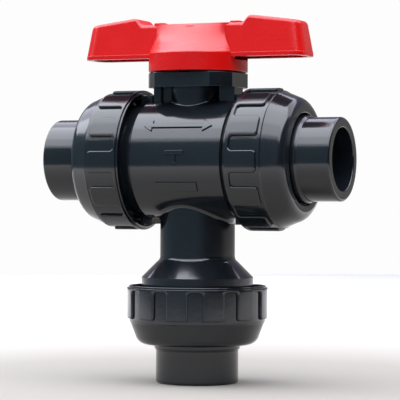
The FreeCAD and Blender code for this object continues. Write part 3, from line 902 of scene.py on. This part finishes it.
def shape_roof(bar, inset):
    """Pulls the bar's flat top into its real outline: low in the middle, peaked, falling to the tips."""
    further = ROOF_PART * inset
    for side in (-1, 1):
        for place in (FOOT_X, PEAK_X):
            alone(bar)
            bpy.ops.object.mode_set(mode="EDIT")
            bpy.ops.mesh.select_all(action="SELECT")
            bpy.ops.mesh.bisect(plane_co=(side * (place + further) * MM, 0, 0), plane_no=(1, 0, 0))
            out_of_edit()
    top = PEAK_Z - inset - ROUGHLY
    pick_points(bar, lambda at: at.z > top and abs(at.x) < FOOT_X + further + ROUGHLY)
    bpy.ops.transform.translate(value=(0, 0, (FOOT_Z - PEAK_Z) * MM))
    out_of_edit()
    for side in (-1, 1):
        pick_points(bar, lambda at: at.z > top and side * at.x > PEAK_X + further + ROUGHLY)
        bpy.ops.transform.rotate(value=-side * math.radians(TIP_DROP_DEG), orient_axis="Y",
                                 center_override=(side * PEAK_X * MM, 0, (PEAK_Z - inset) * MM))
        out_of_edit()


def round_roof(bar):
    """Rounds the edges of the roof, as nothing else on the bar is that high."""
    pick_edges(bar, lambda a, b: min(a.z, b.z) > ROOF_FROM_Z)
    bpy.ops.mesh.bevel(offset=ROOF_ROUND * MM, segments=5, affect="EDGES")
    out_of_edit()


print("wings: %.1f mm from tip to tip" % (2 * WING_HALF_L))

# %% [markdown]
# ## The lever's hub
#
# The hub is a round skirt that covers the stop plate. Above a ridge it has to change from a circle
# into a long narrow top between the wings. Two wires with the same number of points, a circle and
# an oblong, and a bridge between them make that change smoothly. A bevelled box could not do it.

# %% Lever, hub
HUB_R = 20.2
SKIRT_BOTTOM = 35.55
RIDGE_Z = 42.9
HUB_TOP = 55.0
HUB_TOP_X, HUB_TOP_Y = 17.4, 7.7
HUB_CORNER = 3.0
HUB_HOLLOW = -0.05         # the shoulders are a trace hollow
ROUND_STEPS = 72
FRONT_STEPS, CORNER_STEPS = 24, 4    # 2 x (24 + 4 + 4 + 4) makes the same 72 points as the circle


def oblong_wire(name, half_x, half_y, corner, height):
    """A rectangle with round corners, cut into as many stretches as the circle it will meet."""
    bpy.ops.mesh.primitive_plane_add(size=2, location=(0, 0, height * MM))
    wire = bpy.context.object
    wire.name = name
    wire.scale = (half_x * MM, half_y * MM, 1)
    bpy.ops.object.transform_apply(location=True, rotation=True, scale=True)
    bpy.ops.object.mode_set(mode="EDIT")
    bpy.ops.mesh.select_all(action="SELECT")
    bpy.ops.mesh.bevel(offset=corner * MM, segments=CORNER_STEPS, affect="VERTICES")
    bpy.ops.mesh.select_all(action="SELECT")
    bpy.ops.mesh.delete(type="ONLY_FACE")
    out_of_edit()
    pick_edges(wire, lambda a, b: abs(a.y - b.y) < NEAR and abs(a.x - b.x) > corner)
    bpy.ops.mesh.subdivide(number_cuts=FRONT_STEPS - 1)
    out_of_edit()
    pick_edges(wire, lambda a, b: abs(a.x - b.x) < NEAR and abs(a.y - b.y) > 2)
    bpy.ops.mesh.subdivide(number_cuts=CORNER_STEPS - 1)
    out_of_edit()
    return wire


def hub_block(name, inset, bottom):
    """The hub: a round skirt, and shoulders that run from its ridge to the wings' top edges."""
    bpy.ops.mesh.primitive_circle_add(vertices=ROUND_STEPS, radius=(HUB_R - inset) * MM,
                                      location=(0, 0, RIDGE_Z * MM))
    hub = bpy.context.object
    hub.name = name
    bpy.ops.object.transform_apply(location=True, rotation=True, scale=True)
    bpy.ops.object.mode_set(mode="EDIT")
    bpy.ops.mesh.select_all(action="SELECT")
    bpy.ops.mesh.extrude_region_move(TRANSFORM_OT_translate={"value": (0, 0, (bottom - RIDGE_Z) * MM)})
    bpy.ops.mesh.edge_face_add()
    out_of_edit()
    top_wire = oblong_wire("top_wire", HUB_TOP_X - inset, HUB_TOP_Y - inset / 2, HUB_CORNER, HUB_TOP - inset)
    alone(hub)
    top_wire.select_set(True)
    bpy.ops.object.join()
    pick_edges(hub, lambda a, b: min(a.z, b.z) > RIDGE_Z - NEAR)
    bpy.ops.mesh.bridge_edge_loops(number_cuts=5, interpolation="LINEAR", profile_shape="SMOOTH",
                                   profile_shape_factor=HUB_HOLLOW)
    out_of_edit()
    pick_points(hub, lambda at: at.z > HUB_TOP - inset - NEAR)
    bpy.ops.mesh.edge_face_add()
    out_of_edit()
    tidy_mesh(hub)
    return hub


print("hub: %.1f mm across, %d steps round" % (2 * HUB_R, ROUND_STEPS))

# %% [markdown]
# ## The lever as one shell
#
# Its outside and its inside are the same two shapes, the inside one wall smaller all round, so one
# function makes each of them, and the inside is cut out of the outside. A solidify modifier would
# fold over in the narrow corners. The boss, the ribs, the stop lug and the two small tabs on top
# are joined on last, and the square hole for the stem is cut into the boss.

# %% Lever, shell and fittings
SHANK_HALF = 5.1
SHANK_CORNER = 0.45
SHANK_TOP = 51.9
BOSS_OUT_R = 9.0
TAB_IN, TAB_OUT, TAB_W, TAB_TOP = 14.6, 19.0, 4.4, 56.2
TAB_ROUND, SKIRT_ROUND = 0.5, 0.35
RIB_HALF = 0.9
LONG_RIB_Z, CROSS_RIB_Z = (47, 53.6), (40, 46)
LONG_RIB_END = WING_HALF_L - 4       # both ribs end inside the wall
CROSS_RIB_END = HUB_R - 4.7
LUG_IN_R, LUG_START_DEG, LUG_SWEEP_DEG = 13.7, -99, 18
LEVER_CREASE_DEG = 25


def shell(inset, wing_bottom, skirt_bottom, name):
    """Wings and hub as one solid. Only the outside, whose inset is 0, has its edges rounded."""
    bar = wing_bar(name, inset, wing_bottom)
    shape_roof(bar, inset)
    if inset == 0:
        round_roof(bar)
    hub = hub_block("hub", inset, skirt_bottom)
    if inset == 0:
        pick_edges(hub, lambda a, b: abs(a.z - b.z) < NEAR and min(a.z, b.z) < RIDGE_Z + NEAR)
        bpy.ops.mesh.bevel(offset=SKIRT_ROUND * MM, segments=3, affect="EDGES")
        out_of_edit()
    combine(bar, hub, "UNION")
    return bar


def lever():
    handle = shell(0, WING_BOTTOM, SKIRT_BOTTOM, "lever_shell")
    inside = shell(WALL, WING_BOTTOM - 1, SKIRT_BOTTOM - 1, "inside")
    combine(handle, inside, "DIFFERENCE")
    fittings = [disc("boss", BOSS_OUT_R, SKIRT_BOTTOM + 0.4, HUB_TOP - 1, 64),
                block("long_rib", -LONG_RIB_END, LONG_RIB_END, -RIB_HALF, RIB_HALF, *LONG_RIB_Z),
                block("cross_rib", -RIB_HALF, RIB_HALF, -CROSS_RIB_END, CROSS_RIB_END, *CROSS_RIB_Z),
                ring_sector("lug", HUB_R - 1, LUG_IN_R, SKIRT_BOTTOM, RIDGE_Z,
                            LUG_START_DEG, LUG_SWEEP_DEG),
                ring_sector("lug_foot", TRACK_OUT_R - 0.3, LUG_IN_R, TRACK_FLOOR + 0.4, RIDGE_Z - 1,
                            LUG_START_DEG, LUG_SWEEP_DEG)]
    for side in (-1, 1):
        ends = sorted((side * TAB_IN, side * TAB_OUT))
        tab = block("tab", ends[0], ends[1], -TAB_W / 2, TAB_W / 2, HUB_TOP - 1, TAB_TOP)
        pick_edges(tab, lambda a, b: max(a.z, b.z) > HUB_TOP)
        bpy.ops.mesh.bevel(offset=TAB_ROUND * MM, segments=3, affect="EDGES")
        out_of_edit()
        fittings.append(tab)
    for fitting in fittings:
        combine(handle, fitting, "UNION")
    key = block("key", -SHANK_HALF, SHANK_HALF, -SHANK_HALF, SHANK_HALF, SKIRT_BOTTOM - 2, SHANK_TOP)
    pick_edges(key, lambda a, b: abs(a.z - b.z) > 1)
    bpy.ops.mesh.bevel(offset=SHANK_CORNER * MM, segments=1, affect="EDGES")
    out_of_edit()
    combine(handle, key, "DIFFERENCE")
    into_place(handle, Matrix.Translation((0, 0, CENTRE_Z * MM)))
    moulded_shading(handle, LEVER_CREASE_DEG)
    report(handle)
    return handle


handle = lever()
wear(handle, red_abs)
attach(handle, "handle")
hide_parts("handle")

# %% [markdown]
# ## Moulded marks
#
# A real body carries raised marks. These are generic ones that any fitting could have: a long
# double ended arrow for the straight way, a small tee shaped flow diagram and a plain date plate.
# They could be cut from a bent sheet, but a projection keeps their outline exact: each is drawn
# flat in front of the barrel, cut into narrow strips, laid onto the barrel with a projecting
# shrinkwrap, thickened, and bevelled so that its rim catches the light.

# %% Moulded marks
MARK_STAND, MARK_ROOT = 0.6, 0.6     # how far a mark stands out of the barrel and goes into it
MARK_EDGE = 0.22
MARK_START = 30            # mm in front of the axis, where the marks are drawn


def laid_on_barrel(name, outline, middle_z):
    """A flat outline of (x, z) points laid onto the front of the barrel as a raised mark."""
    placed = [(x, z + middle_z + CENTRE_Z) for x, z in outline]
    mark = traced(name, placed)
    bpy.ops.object.mode_set(mode="EDIT")
    bpy.ops.mesh.select_all(action="SELECT")
    bpy.ops.mesh.edge_face_add()
    low = min(z for _, z in placed)
    high = max(z for _, z in placed)
    strips = math.ceil(high - low)
    for strip in range(1, strips):
        bpy.ops.mesh.select_all(action="SELECT")
        bpy.ops.mesh.bisect(plane_co=(0, 0, (low + (high - low) * strip / strips) * MM), plane_no=(0, 0, 1))
    out_of_edit()
    into_place(mark, Matrix.Translation((0, -MARK_START * MM, 0)))
    apply_modifier(mark, "SHRINKWRAP", target=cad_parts["body"], wrap_method="PROJECT",
                   use_project_y=True, use_project_z=False, use_positive_direction=True,
                   use_negative_direction=False)
    tidy_mesh(mark)
    return mark


ARROW = [(-15, 0), (-11, 2.3), (-11, 0.8), (11, 0.8), (11, 2.3), (15, 0),
         (11, -2.3), (11, -0.8), (-11, -0.8), (-11, -2.3)]
FLOW_TEE = [(-4, 1.6), (4, 1.6), (4, 0.2), (0.7, 0.2), (0.7, -3.4), (-0.7, -3.4), (-0.7, 0.2), (-4, 0.2)]
DATE_PLATE = [(-9, -1.8), (9, -1.8), (9, 1.8), (-9, 1.8)]
marks = [laid_on_barrel("flow_arrow_mark", ARROW, 13.2),
         laid_on_barrel("flow_tee_mark", FLOW_TEE, 1.8),
         laid_on_barrel("date_plate_mark", DATE_PLATE, -11)]
for mark in marks:
    apply_modifier(mark, "SOLIDIFY", thickness=(MARK_STAND + MARK_ROOT) * MM, offset=0)
    apply_modifier(mark, "BEVEL", width=MARK_EDGE * MM, segments=2, limit_method="ANGLE",
                   angle_limit=math.radians(SHARP_DEG))
    moulded_shading(mark)
    wear(mark, grey_upvc)
    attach(mark, "valve_body")
    report(mark)
